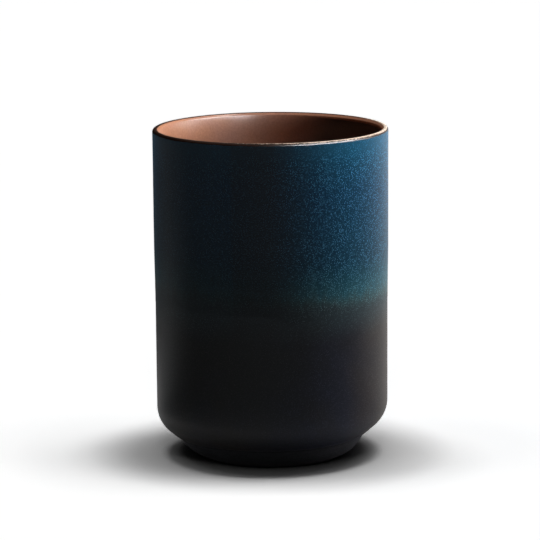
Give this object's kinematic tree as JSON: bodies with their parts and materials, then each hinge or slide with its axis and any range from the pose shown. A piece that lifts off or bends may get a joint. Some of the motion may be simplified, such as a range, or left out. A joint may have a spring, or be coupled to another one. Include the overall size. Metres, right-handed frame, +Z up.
{
  "type": "tea cup",
  "caption": "Tall straight-sided handleless stoneware tea cup with a rounded bottom, a low tapered foot, a brown glazed inside and lip, and a blue glaze fading to black outside.",
  "frame": {"origin": "middle of the flat resting ring, on the table", "axes": "+Z up along the cup's axis; X and Y lie in the table and are alike"},
  "size_m": [0.07, 0.07, 0.0985],
  "materials": {
    "stoneware": "bare dark stoneware, matte, fine grained",
    "liner_glaze": "satin brown iron glaze",
    "base_glaze": "satin black glaze with faint brown and indigo drifts",
    "blue_glaze": "satin blue glaze, finely speckled, thinning out downwards"
  },
  "bodies": {
    "root": {"stoneware_body": "stoneware", "liner_glaze": "liner_glaze", "base_glaze": "base_glaze", "blue_glaze": "blue_glaze"}
  },
  "joints": []
}
